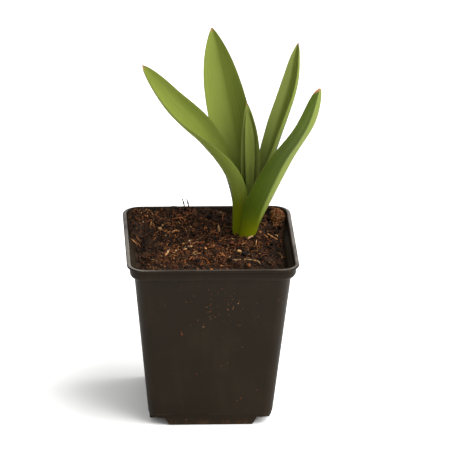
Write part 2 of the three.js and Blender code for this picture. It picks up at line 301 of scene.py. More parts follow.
@dataclass(frozen=True)
class PotFinish:
    """Satin black moulded plastic, with a grey lip that is partly wear and partly a painted highlight, warm
    dust and fine scuffs.
    """

    name: str = "pot_plastic"
    body: Colour = rgb(29, 22, 14)
    dusty: Colour = rgb(46, 37, 25)
    # Grey of the lip: partly wear and partly a painted highlight, strongest on the sides.
    lip: Colour = rgb(100, 95, 90)
    speck: Colour = rgb(128, 84, 48)
    lip_height: float = 0.09372
    step_height: float = 0.0066
    roughness: float = 0.42

    def build(self) -> bpy.types.Material:
        """Makes the material.

        Returns:
            The material, which reads the pot's own coordinates.
        """
        shade = Shader(self.name)
        place = shade.place()
        parts = shade.node("SeparateXYZ", {"Vector": place})
        depth, height = parts.outputs["Y"], parts.outputs["Z"]
        cloud = shade.noise(place, 38.0, 5.0, 0.6)
        grain = shade.noise(place, 900.0, 3.0, 0.6)
        streaks = shade.noise(shade.place((260, 260, 18)), 1.0, 4.0, 0.6)
        dust = shade.math("MULTIPLY", shade.span(cloud, 0.42, 0.68),
                          shade.span(streaks, 0.35, 0.7, 0.35, 1.0))
        low = shade.span(shade.math("ADD", height, shade.math("MULTIPLY", cloud, 0.006)),
                         0.002, 0.009, 0.5, 0.0)
        step = shade.span(shade.math("ABSOLUTE", shade.math("SUBTRACT", height, self.step_height)),
                          0.0, 0.0005, 0.9, 0.0)
        step = shade.math("MULTIPLY", step, shade.span(shade.noise(place, 90.0, 3.0), 0.42, 0.62))
        dust = shade.math("MAXIMUM", shade.math("MAXIMUM", shade.math("MULTIPLY", dust, 0.4), low), step)
        colour = shade.blend(dust, self.body, self.dusty)
        smear = shade.math("MULTIPLY", shade.span(height, 0.004, 0.0012), shade.span(streaks, 0.5, 0.62))
        colour = shade.blend(shade.math("MULTIPLY", smear, 0.1), colour, self.speck)
        cells = shade.node("TexVoronoi", {"Vector": place, "Scale": 520.0, "Randomness": 1.0})
        specks = cells.outputs["Distance"]
        chosen = shade.span(shade.noise(place, 120.0, 3.0), 0.58, 0.66)
        speck = shade.math("MULTIPLY", shade.span(specks, 0.08, 0.16, 1.0, 0.0), chosen)
        colour = shade.blend(shade.math("MULTIPLY", speck, 0.55), colour, self.speck)
        # Painted highlight, partly wear: the lip turns grey fully on the sides, faintly at the front, hardly
        # at the back.
        lip_band_height = shade.math("ADD", height, shade.math("MULTIPLY", shade.math("SUBTRACT", streaks, 0.5), 0.0004))
        lip = shade.span(lip_band_height, self.lip_height, self.lip_height + 0.00015)
        flank = shade.span(shade.math("ABSOLUTE", parts.outputs["X"]), 0.028, 0.043, 0.35, 1.0)
        flank = shade.math("MULTIPLY", flank, shade.span(depth, 0.036, 0.043, 1.0, 0.08))
        painted_lip_highlight = shade.math("MULTIPLY", flank, shade.span(cloud, 0.36, 0.58, 0.45, 1.0))
        colour = shade.blend(shade.math("MULTIPLY", lip, painted_lip_highlight), colour, self.lip)
        shade.set("Base Color", colour)
        shade.set("Roughness", shade.math("ADD", self.roughness, shade.math("MULTIPLY", dust, 0.35)))
        shade.set("Specular IOR Level", 0.06)
        scuffs = shade.bump(streaks, 0.00005, 0.35)
        shade.set("Normal", shade.bump(grain, 0.00003, 0.5, scuffs))
        return shade.material


@dataclass(frozen=True)
class PeatFinish:
    """Moist dark peat, mottled with rust-brown and tan fibre."""

    name: str = "peat"
    dark: Colour = rgb(22, 15, 10)
    brown: Colour = rgb(56, 37, 23)
    rust: Colour = rgb(92, 54, 29)

    def build(self) -> bpy.types.Material:
        """Makes the material.

        Returns:
            The material, which reads the peat's own coordinates.
        """
        shade = Shader(self.name)
        place = shade.place()
        coarse = shade.noise(place, 210.0, 5.0, 0.65)
        fine = shade.noise(place, 900.0, 4.0, 0.7)
        strand = shade.noise(shade.place((900, 260, 500)), 1.0, 4.0, 0.7)
        colour = shade.blend(shade.span(coarse, 0.38, 0.66), self.dark, self.brown)
        colour = shade.blend(shade.math("MULTIPLY", shade.span(strand, 0.54, 0.7), 0.7), colour, self.rust)
        colour = shade.blend(shade.span(fine, 0.35, 0.6, 0.6, 0.0), colour, self.dark)
        shade.set("Base Color", colour)
        shade.set("Roughness", shade.span(fine, 0.3, 0.7, 0.72, 0.96))
        shade.set("Specular IOR Level", 0.1)
        rough = shade.bump(coarse, 0.0006, 0.9)
        shade.set("Normal", shade.bump(fine, 0.0003, 0.9, rough))
        return shade.material


@dataclass(frozen=True)
class ScrapFinish:
    """Loose scraps whose colour is the piece's tint, mottled along their grain."""

    name: str
    roughness: float = 0.85
    grain: Triple = (700, 700, 700)
    depth: float = 0.0001

    def build(self) -> bpy.types.Material:
        """Makes the material.

        Returns:
            The material, which reads the piece's tint attribute.
        """
        shade = Shader(self.name)
        grain = shade.noise(shade.place(self.grain), 1.0, 4.0, 0.65)
        colour = shade.blend(shade.span(grain, 0.3, 0.7), rgb(110, 100, 92), rgb(255, 255, 255))
        shade.set("Base Color", shade.blend(1.0, shade.tint("tint"), colour, "MULTIPLY"))
        shade.set("Roughness", self.roughness)
        shade.set("Specular IOR Level", 0.12)
        shade.set("Normal", shade.bump(grain, self.depth, 0.8))
        return shade.material


@dataclass(frozen=True)
class PlainFinish:
    """A near-plain surface with a little noise: the bulb's papery skin, or the studio floor."""

    name: str
    light: Colour
    dark: Colour
    scale: Triple
    roughness: float

    def build(self) -> bpy.types.Material:
        """Makes the material.

        Returns:
            The material, which reads the object's own coordinates.
        """
        shade = Shader(self.name)
        mottle = shade.noise(shade.place(self.scale), 1.0, 4.0)
        shade.set("Base Color", shade.blend(shade.span(mottle, 0.35, 0.65), self.dark, self.light))
        shade.set("Roughness", self.roughness)
        shade.set("Specular IOR Level", 0.2)
        return shade.material


# ---------------------------------------------------------------- pot
@dataclass
class NurseryPot:
    """The square tapered pot with its turned-out lip, collar and cross-shaped foot. Millimetres."""

    height: float = 94.0
    rim_half: float = 45.0
    rim_radius: float = 10.0
    lip: float = 1.8
    collar_half: float = 43.4
    collar_bottom: float = 89.4
    step_z: float = 86.6
    top_half: float = 41.0
    top_radius: float = 8.0
    bottom_half: float = 32.2
    bottom_radius: float = 6.0
    foot_step_z: float = 6.4
    foot_step: float = 0.3
    wall: float = 1.2
    arm_floor: float = 21.7
    arm_corner: float = 24.4
    corner_rise: float = 4.6
    drain_radius: float = 2.5
    drain_offset: float = 28.0
    corner_segments: int = 12
    sharp_angle: float = 28.0

    def half_at(self, z: float) -> float:
        """Half the width of the tapered body at a height."""
        return mix(self.bottom_half, self.top_half, z / self.step_z)

    def inner_half_at(self, z: float) -> float:
        """Half the width of the hollow at a height."""
        if z <= self.step_z + 0.5:
            return self.half_at(z) - self.wall
        share = smoothstep(z, self.step_z + 0.5, self.collar_bottom + 0.6)
        return mix(self.top_half, self.collar_half, share) - self.wall

    def round_square(self, index: int, half: float, radius: float) -> Vector:
        """One point of a square ring with round corners, counted counter-clockwise."""
        per_corner = self.corner_segments + 1
        corner, step = divmod(index % (4 * per_corner), per_corner)
        angle = (corner + step / self.corner_segments) * math.pi / 2
        side_x = 1 if corner in (0, 3) else -1
        side_y = 1 if corner < 2 else -1
        return Vector(((half - radius) * side_x + radius * math.cos(angle),
                       (half - radius) * side_y + radius * math.sin(angle), 0.0))

    def loft(self, levels: list[Triple]) -> bmesh.types.BMesh:
        """Raises a closed solid through rings of height, half width and corner radius.

        Args:
            levels: The rings, from the bottom up.

        Returns:
            The solid.
        """
        bm = bmesh.new()
        count = 4 * (self.corner_segments + 1)
        ring = bmesh.ops.create_circle(bm, cap_ends=True, segments=count, radius=1.0)["verts"]
        ring.sort(key=lambda vert: math.atan2(vert.co.y, vert.co.x) % (2 * math.pi))
        order = list(ring)
        self.set_ring(order, levels[0])
        cap = bm.faces[:]
        for level in levels[1:]:
            made = bmesh.ops.extrude_face_region(bm, geom=cap)
            fresh = [item for item in made["geom"] if isinstance(item, bmesh.types.BMVert)]
            near = {vert: min(fresh, key=lambda other: (other.co - vert.co).length_squared) for vert in order}
            order = [near[vert] for vert in order]
            if level is not levels[1]:
                bmesh.ops.delete(bm, geom=cap, context="FACES_ONLY")
            cap = [item for item in made["geom"] if isinstance(item, bmesh.types.BMFace)]
            self.set_ring(order, level)
        bmesh.ops.recalc_face_normals(bm, faces=bm.faces)
        return bm

    def set_ring(self, ring: list[bmesh.types.BMVert], level: Triple) -> None:
        """Puts a ring's vertices on the round square of one level."""
        z, half, radius = level
        for index, vert in enumerate(ring):
            vert.co = self.round_square(index, half, radius)
            vert.co.z = z

    def outer_levels(self) -> list[Triple]:
        """The rings of the outside, from the foot to the lip's top."""
        under = self.height - self.lip
        collar_radius = self.rim_radius - (self.rim_half - self.collar_half)
        step = self.foot_step_z
        return [
            (0.0, self.bottom_half - self.foot_step - 0.5, self.bottom_radius),
            (0.5, self.bottom_half - self.foot_step, self.bottom_radius),
            (step - 0.1, self.half_at(step) - self.foot_step, self.bottom_radius),
            (step + 0.2, self.half_at(step + 0.2), self.bottom_radius + 0.15),
            (self.step_z - 0.5, self.half_at(self.step_z - 0.5), self.top_radius),
            (self.step_z, self.top_half + 0.2, self.top_radius),
            (self.step_z + 0.25, self.collar_half - 1.5, collar_radius - 1.2),
            (self.step_z + 0.9, self.collar_half - 0.75, collar_radius - 0.7),
            (self.step_z + 1.8, self.collar_half - 0.2, collar_radius - 0.2),
            (self.collar_bottom, self.collar_half, collar_radius),
            (under - 0.2, self.collar_half, collar_radius),
            (under + 0.1, self.collar_half + 0.3, collar_radius + 0.3),
            (under + 0.3, self.rim_half - 0.5, self.rim_radius - 0.4),
            (under + 0.55, self.rim_half - 0.12, self.rim_radius),
            (under + 0.9, self.rim_half, self.rim_radius),
            (self.height - 0.6, self.rim_half - 0.05, self.rim_radius),
            (self.height - 0.2, self.rim_half - 0.3, self.rim_radius - 0.2),
            (self.height, self.rim_half - 0.75, self.rim_radius - 0.6),
        ]

    def hollow_levels(self) -> list[Triple]:
        """The rings of the inside, from the floor to above the mouth."""
        mouth = self.collar_half - self.wall
        radius = self.top_radius - self.wall
        return [
            (self.wall, self.half_at(self.wall) - self.wall, self.bottom_radius - self.wall),
            (self.step_z + 0.5, self.top_half - self.wall, radius),
            (self.step_z + 1.4, self.top_half - self.wall + 0.5, radius),
            (self.collar_bottom + 0.6, mouth, radius + 0.2),
            (self.height - 0.9, mouth + 0.4, radius + 0.5),
            (self.height - 0.25, mouth + 0.75, radius + 0.8),
            (self.height + 0.05, mouth + 1.3, radius + 1.2),
            (self.height + 1.0, mouth + 1.6, radius + 1.4),
        ]

    def corner_block(self, side_x: int, side_y: int, grow: float) -> bmesh.types.BMesh:
        """The block that lifts one corner of the pot off the ground.

        Args:
            side_x: Which side along X.
            side_y: Which side along Y.
            grow: How far the block is grown towards the pot's middle and up.

        Returns:
            The block.
        """
        bm = bmesh.new()
        bmesh.ops.create_cube(bm, size=2.0)
        slope = (self.arm_corner - self.arm_floor) / self.corner_rise
        outside, below = 60.0, -10.0
        for vert in bm.verts:
            upper = vert.co.z > 0
            near = self.arm_floor - grow + slope * (self.corner_rise if upper else below)
            outer_x, outer_y = vert.co.x * side_x > 0, vert.co.y * side_y > 0
            vert.co.x = (outside if outer_x else near) * side_x
            vert.co.y = (outside if outer_y else near) * side_y
            vert.co.z = self.corner_rise + grow if upper else below
        bmesh.ops.recalc_face_normals(bm, faces=bm.faces)
        return bm

    def drain_hole(self, side_x: int, side_y: int) -> bmesh.types.BMesh:
        """The drum that one drain hole is cut with."""
        bm = bmesh.new()
        bmesh.ops.create_cone(bm, cap_ends=True, segments=32, radius1=self.drain_radius,
                              radius2=self.drain_radius, depth=12.0)
        offset = (side_x * self.drain_offset, side_y * self.drain_offset, 5.0)
        bmesh.ops.translate(bm, verts=bm.verts, vec=offset)
        return bm

    @staticmethod
    def cut(body: bpy.types.Object, tools: list[bmesh.types.BMesh]) -> None:
        """Cuts each tool out of the body's mesh.

        Args:
            body: The object that is cut; its mesh is replaced.
            tools: Closed solids, in the body's own units; each is freed.
        """
        scene = bpy.context.scene
        for tool in tools:
            mesh = bpy.data.meshes.new("cutter")
            tool.to_mesh(mesh)
            tool.free()
            cutter = bpy.data.objects.new("cutter", mesh)
            scene.collection.objects.link(cutter)
            step = body.modifiers.new("cut", "BOOLEAN")
            step.object = cutter
            step.operation = "DIFFERENCE"
            step.solver = "EXACT"
            graph = bpy.context.evaluated_depsgraph_get()
            body.data = bpy.data.meshes.new_from_object(body.evaluated_get(graph))
            body.modifiers.clear()
            bpy.data.objects.remove(cutter)

    def build(self) -> bpy.types.Object:
        """Models the pot and puts it in place of the plain one.

        Returns:
            The pot.
        """
        sides = [(1, 1), (-1, 1), (-1, -1), (1, -1)]
        mesh = bpy.data.meshes.new("pot_work")
        solid = self.loft(self.outer_levels())
        solid.to_mesh(mesh)
        solid.free()
        work = bpy.data.objects.new("pot_work", mesh)
        bpy.context.scene.collection.objects.link(work)
        self.cut(work, [self.corner_block(*side, 0.0) for side in sides])
        hollow_mesh = bpy.data.meshes.new("hollow")
        hollow_solid = self.loft(self.hollow_levels())
        hollow_solid.to_mesh(hollow_mesh)
        hollow_solid.free()
        hollow = bpy.data.objects.new("hollow", hollow_mesh)
        bpy.context.scene.collection.objects.link(hollow)
        self.cut(hollow, [self.corner_block(*side, self.wall) for side in sides])
        inside = bmesh.new()
        inside.from_mesh(hollow.data)
        bpy.data.objects.remove(hollow)
        self.cut(work, [inside] + [self.drain_hole(*side) for side in sides])
        bm = bmesh.new()
        bm.from_mesh(work.data)
        bpy.data.objects.remove(work)
        bmesh.ops.remove_doubles(bm, verts=bm.verts, dist=0.001)
        pot = add_piece(bm, "square_nursery_pot", PotFinish().build())
        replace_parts(pot, "nursery_pot")
        pot.data.set_sharp_from_angle(angle=math.radians(self.sharp_angle))
        return pot


# ---------------------------------------------------------------- leaves
@dataclass
class Leaf:
    """One channelled leaf, swept along its spine. Millimetres and degrees.

    The inside has a painted highlight, as strong as the first number of pale, on the side below its second.
    The outside has a painted highlight on the side that the sign of turned's first number gives, from its
    second number on.
    """

    node: str
    spine: list[Triple]
    base_half: float
    half: float
    widest: float
    flare_from: float
    tip_power: float
    tip_round: float
    fold_base: float
    fold_tip: float
    fold_fall: float
    facing_base: float
    facing_tip: float
    crease: float = 0.0
    crease_at: float = 0.0
    # pale and turned place painted highlights on the inner and the outer face.
    pale: tuple[float, float] = (0.4, 9.0)
    turned: tuple[float, float] = (0.0, 0.0)
    middle: float = 1.2
    base_thickness: float = 0.7
    around: int = 56
    rows: int = 170

    def half_width(self, t: float) -> float:
        """Half the blade's width, along its own curve, at a share of its length."""
        full = mix(self.base_half, self.half, smoothstep(t, self.flare_from, self.widest))
        past = max((t - self.widest) / (1 - self.widest), 0.0)
        return full * max(1 - past ** self.tip_power, 0.0) ** self.tip_round

    def point(self, points: list[Vector], around: float, t: float) -> Vector:
        """A point on the blade's skin.

        Args:
            points: The spine's points.
            around: Share round the section, starting at one margin.
            t: Share of the length.

        Returns:
            The point.
        """
        t = t * 0.9995
        spot = through_points(points, t)
        ahead = through_points(points, min(t + 0.004, 1))
        along = (ahead - through_points(points, max(t - 0.004, 0))).normalized()
        heading = math.radians(mix(self.facing_base, self.facing_tip, t))
        inward = Vector((math.cos(heading), math.sin(heading), 0.0))
        inward = (inward - along * inward.dot(along)).normalized()
        across = along.cross(inward)
        half = self.half_width(t)
        bend = math.radians(mix(self.fold_tip, self.fold_base, (1 - t) ** self.fold_fall)) / 2
        radius = half / bend
        turn = around * 2 * math.pi
        side = math.cos(turn)
        angle = side * bend
        ends = min(t * 40, (1 - t) * 40, 1)
        body = mix(self.base_thickness, self.middle, min(t * 3, 1)) * min(half / 2.5, 1) / 2 * ends
        keel = 1 + 0.35 * math.exp(-(side / 0.12) ** 2) * smoothstep(t, 0.15, 0.4)
        belly = math.sin(turn)
        reach = radius + body * math.copysign(abs(belly) ** 0.8, belly) * (keel if belly > 0 else 1.0)
        crease = self.crease * half * (math.sqrt((side - self.crease_at) ** 2 + 0.006) - 0.4)
        crease *= smoothstep(t, 0.2, 0.45)
        wave = 0.16 * noise.noise(Vector((t * 9 + self.half, side * 1.6, self.widest * 7)))
        lift = radius - reach * math.cos(angle) + crease + wave * smoothstep(t, 0.2, 0.5)
        return spot + across * (reach * math.sin(angle)) + inward * lift

    def build(self, material: bpy.types.Material) -> bpy.types.Object:
        """Models the leaf and puts it in place of the plain one.

        Args:
            material: The blade's material.

        Returns:
            The leaf.
        """
        points = [Vector(p) for p in self.spine]
        bm = bmesh.new()
        names = ("across", "along", "face", "pale", "turned")
        layers = {name: bm.verts.layers.float.new(name) for name in names}
        made = bmesh.ops.create_grid(bm, x_segments=self.around, y_segments=self.rows, size=1.0)
        for vert in made["verts"]:
            around, t = (vert.co.x + 1) / 2, (vert.co.y + 1) / 2
            side = math.cos(around * 2 * math.pi)
            vert[layers["across"]] = side
            vert[layers["along"]] = t
            vert[layers["face"]] = math.sin(around * 2 * math.pi)
            # Painted highlights: pale on one side of the inner face, turned on one side of the outer face.
            strength, below = self.pale
            vert[layers["pale"]] = strength * smoothstep(below - side, -0.12, 0.2) * smoothstep(t, 0.2, 0.5)
            lean, start = self.turned
            vert[layers["turned"]] = abs(lean) * smoothstep(side * math.copysign(1, lean), start, start + 0.5)
            vert[layers["turned"]] *= smoothstep(t, 0.1, 0.3)
            vert.co = self.point(points, around, t)
        bmesh.ops.remove_doubles(bm, verts=bm.verts, dist=0.0004)
        bmesh.ops.recalc_face_normals(bm, faces=bm.faces)
        leaf = add_piece(bm, self.node + "_blade", material)
        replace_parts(leaf, self.node)
        return leaf


@dataclass
class AlliumPlant:
    """The six leaves, from the youngest in the middle outwards, and the bulb they grow from."""

    leaves: list[Leaf] = field(default_factory=lambda: [
        Leaf("leaf_centre_inner",
             spine=[(19, 22, 81), (21.5, 21.5, 101), (22, 21.5, 121), (21.5, 21.5, 141), (20, 21.5, 157.5)],
             base_half=1.7, half=2.9, widest=0.65, flare_from=0.1, tip_power=2.4, tip_round=0.86,
             fold_base=110, fold_tip=100, fold_fall=2.5, facing_base=259, facing_tip=267),
        Leaf("leaf_centre_outer",
             spine=[(19, 23, 81), (21, 23.5, 101), (22.5, 24, 121.5), (22, 24, 141), (20, 24, 161)],
             base_half=3.4, half=6, widest=0.55, flare_from=0.1, tip_power=2.35, tip_round=0.85,
             fold_base=140, fold_tip=106, fold_fall=2.5, facing_base=260, facing_tip=261),
        Leaf("leaf_left",
             spine=[(13.8, 18.3, 81), (11.7, 21, 115.2), (-3.2, 23.5, 139.5), (-21.6, 22, 161.2),
                    (-35.7, 21, 183.4)],
             base_half=8.1, half=12.7, widest=0.32, flare_from=0.0, tip_power=2.45, tip_round=0.75,
             fold_base=185, fold_tip=105, fold_fall=0.85, facing_base=377, facing_tip=318,
             pale=(0.05, 9.0), turned=(-1.3, -0.1)),
        Leaf("leaf_right_back",
             spine=[(23.3, 19.5, 81), (28.5, 25, 110.5), (37.3, 28, 140), (45.4, 32, 167.5),
                    (47.4, 35, 190.6)],
             base_half=5, half=10.2, widest=0.45, flare_from=0.14, tip_power=2.5, tip_round=0.86,
             fold_base=116, fold_tip=120, fold_fall=2.1, facing_base=173, facing_tip=217,
             crease=0.03, pale=(1.0, -0.4), turned=(0.8, 0.35)),
        Leaf("leaf_back_tall",
             spine=[(17.4, 25.6, 81), (17.3, 31.3, 110), (12.5, 37.5, 138.5), (6.5, 42.5, 168.5),
                    (2.1, 47.6, 194.8)],
             base_half=6.4, half=12, widest=0.5, flare_from=0.12, tip_power=2.3, tip_round=0.84,
             fold_base=150, fold_tip=52, fold_fall=2.5, facing_base=293, facing_tip=272,
             crease=0.3, crease_at=0.2, pale=(0.2, 0.2)),
        Leaf("leaf_right_front",
             spine=[(21.9, 15.1, 81), (26, 12, 101.5), (37.4, 8.5, 131), (49.5, 0.5, 156),
                    (55.4, -6, 179.9)],
             base_half=7.6, half=11.6, widest=0.35, flare_from=0.1, tip_power=2.6, tip_round=0.5,
             fold_base=145, fold_tip=20, fold_fall=2.4, facing_base=132, facing_tip=140,
             turned=(-1.15, -0.15)),
    ])

    def build(self) -> None:
        """Models every leaf and dresses the hidden bulb."""
        material = LeafFinish().build()
        for leaf in self.leaves:
            leaf.build(material)
        skin = PlainFinish("bulb_skin", rgb(205, 184, 146), rgb(150, 116, 78), (260, 260, 30), 0.6)
        dress_node("allium_bulb", skin.build())


def dress_node(node: str, material: bpy.types.Material) -> None:
    """Gives a carried-over node its material."""
    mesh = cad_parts[node].data
    mesh.materials.clear()
    mesh.materials.append(material)


# ---------------------------------------------------------------- soil
@dataclass
class PottingSoil:
    """The uneven peat that fills the pot. Millimetres."""

    pot: NurseryPot
    level: float = 86.8
    neck: tuple[float, float] = (18.5, 20.0)
    cells: int = 250
    lift: float = 0.3
    tuck: float = 0.15
    floor_z: float = 78.0

    def smooth_height(self, x: float, y: float) -> float:
        """The peat's height without its lumps: low along the walls, high at the back and the neck."""
        bank = 4.8 * smoothstep(y, 10, 40) - 1.6 * smoothstep(-y, 12, 38)
        dip = 2.2 * math.exp(-((abs(x) - 36) ** 2 + (y + 34) ** 2) / 120)
        mound = math.exp(-((x - self.neck[0]) ** 2 + (y - self.neck[1]) ** 2) / 220)
        heap = 2.1 * math.exp(-((x - 20) ** 2 + (y - 12) ** 2) / 90)
        left = 2.3 * math.exp(-((x + 36.5) ** 2 / 26 + (y + 4) ** 2 / 260))
        right = 1.5 * math.exp(-((x - 37) ** 2 / 30 + (y + 8) ** 2 / 500))
        shelf = 2.4 * smoothstep(y, 28, 40) * smoothstep(-x, -14, 2)
        flank = 4.2 * smoothstep(-x, 28, 40) * smoothstep(y, 6, 24) * (1 - 0.5 * smoothstep(y, 24, 38))
        lumps = 0.5 * math.sin(x * 0.31 + 1.3) * math.cos(y * 0.27 + 0.6)
        return self.level + bank - dip + mound + heap - left - right + max(shelf, flank) + lumps

    def height(self, x: float, y: float) -> float:
        """The peat's height with its clods and crumbs."""
        clods = noise.turbulence(Vector((x / 8, y / 8, 3.1)), 3, False)
        knobs = noise.noise(Vector((x / 2.4, y / 2.4, 7.7)))
        grit = noise.noise(Vector((x / 0.95, y / 0.95, 1.9)))
        pits = min(noise.noise(Vector((x / 4.0, y / 4.0, 12.4))) + 0.14, 0.0)
        rough = 1.7 * (clods - 0.45) + 0.95 * knobs + 0.55 * grit + 3.2 * pits
        return self.smooth_height(x, y) + self.lift + rough

    def add_top(self, bm: bmesh.types.BMesh) -> None:
        """Adds the lumpy top as a closed slab.

        Args:
            bm: The bmesh that gets it.
        """
        half, radius = 42.0, 7.0
        spread = bm.verts.layers.float.new("spread")
        verts = bmesh.ops.create_grid(bm, x_segments=self.cells, y_segments=self.cells, size=1.0)["verts"]
        for vert in verts:
            x, y = self.rounded(vert.co.x * half, vert.co.y * half, half, radius)
            vert[spread] = (self.pot.inner_half_at(self.smooth_height(x, y) - 1.0) + self.tuck) / half
            x, y = x * vert[spread], y * vert[spread]
            vert.co = Vector((x, y, self.height(x, y)))
        rim = [edge for edge in bm.edges if edge.is_boundary]
        for bottom in (self.level, self.floor_z):
            made = bmesh.ops.extrude_edge_only(bm, edges=rim)["geom"]
            for vert in (item for item in made if isinstance(item, bmesh.types.BMVert)):
                z = min(bottom, vert.co.z - 0.6)
                now = (self.pot.inner_half_at(z) + self.tuck) / half
                share = now / vert[spread]
                vert[spread] = now
                vert.co = Vector((vert.co.x * share, vert.co.y * share, z))
            rim = [item for item in made if isinstance(item, bmesh.types.BMEdge) and item.is_boundary]
        bmesh.ops.contextual_create(bm, geom=rim)

    def add_filling(self, bm: bmesh.types.BMesh) -> None:
        """Adds the deep part of the peat, which keeps the plain filling's shape.

        Args:
            bm: The bmesh that gets it.
        """
        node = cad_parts["potting_soil"]
        deep = bmesh.new()
        deep.from_mesh(node.data)
        bmesh.ops.transform(deep, matrix=Matrix.Diagonal((1 / MM, 1 / MM, 1 / MM, 1)) @ node.matrix_world,
                            verts=deep.verts)
        bmesh.ops.remove_doubles(deep, verts=deep.verts, dist=0.001)
        whole = deep.verts[:] + deep.edges[:] + deep.faces[:]
        cut = bmesh.ops.bisect_plane(deep, geom=whole, dist=0.0001, plane_co=(0, 0, self.floor_z + 1.0),
                                     plane_no=(0, 0, 1), clear_outer=True)
        rim = [item for item in cut["geom_cut"] if isinstance(item, bmesh.types.BMEdge)]
        bmesh.ops.triangle_fill(deep, edges=rim, use_beauty=True, use_dissolve=False)
        mesh = bpy.data.meshes.new("deep_peat")
        deep.to_mesh(mesh)
        deep.free()
        bm.from_mesh(mesh)
        bpy.data.meshes.remove(mesh)

    def build(self) -> bpy.types.Object:
        """Models the peat and puts it in place of the plain filling.

        Returns:
            The peat.
        """
        bm = bmesh.new()
        self.add_top(bm)
        self.add_filling(bm)
        bmesh.ops.recalc_face_normals(bm, faces=bm.faces)
        peat = add_piece(bm, "moist_peat", PeatFinish().build())
        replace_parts(peat, "potting_soil")
        return peat

    @staticmethod
    def rounded(x: float, y: float, half: float, radius: float) -> tuple[float, float]:
        """Draws a square's corners in so that they follow a round square."""
        over_x, over_y = abs(x) - (half - radius), abs(y) - (half - radius)
        if over_x <= 0 or over_y <= 0:
            return x, y
        shrink = max(over_x, over_y) / math.hypot(over_x, over_y)
        return (math.copysign(half - radius + over_x * shrink, x),
                math.copysign(half - radius + over_y * shrink, y))

    def dry_and_unshaded(self, x: float, y: float) -> float:
        """How much of the litter is light and dry at a place, from 0 to 1; fewer light scraps lie near the
        front of the side walls, as painted shade.
        """
        heaps = [(-21, -5, 8), (-12, 6, 7), (2, 6, 9), (4, 20, 6), (22, 6, 9), (32, 13, 6), (-21, 21, 6),
                 (8, -12, 8), (-8, -13, 7), (37, 32, 6), (-13, 31, 7), (-30, 34, 7)]
        total = sum(math.exp(-((x - a) ** 2 + (y - b) ** 2) / (r * r)) for a, b, r in heaps)
        # Painted shade: fewer light scraps near the side walls at the front.
        shade = 1.0 - 0.75 * smoothstep(abs(x), 31, 38) * smoothstep(24 - y, 0, 8)
        front_right = 1.0 - 0.5 * smoothstep(x, 22, 30) * smoothstep(12 - y, 0, 8)
        return min(0.1 + 0.8 * total, 1.0) * shade * front_right


class Kind(Enum):
    """What a loose scrap is, with its usual colour."""

    DARK = (26, 18, 12)
    PEAT = (66, 42, 26)
    RUST = (104, 60, 34)
    BARK = (140, 90, 50)
    TAN = (180, 134, 86)
    PALE = (214, 180, 136)
    STALK = (92, 74, 44)


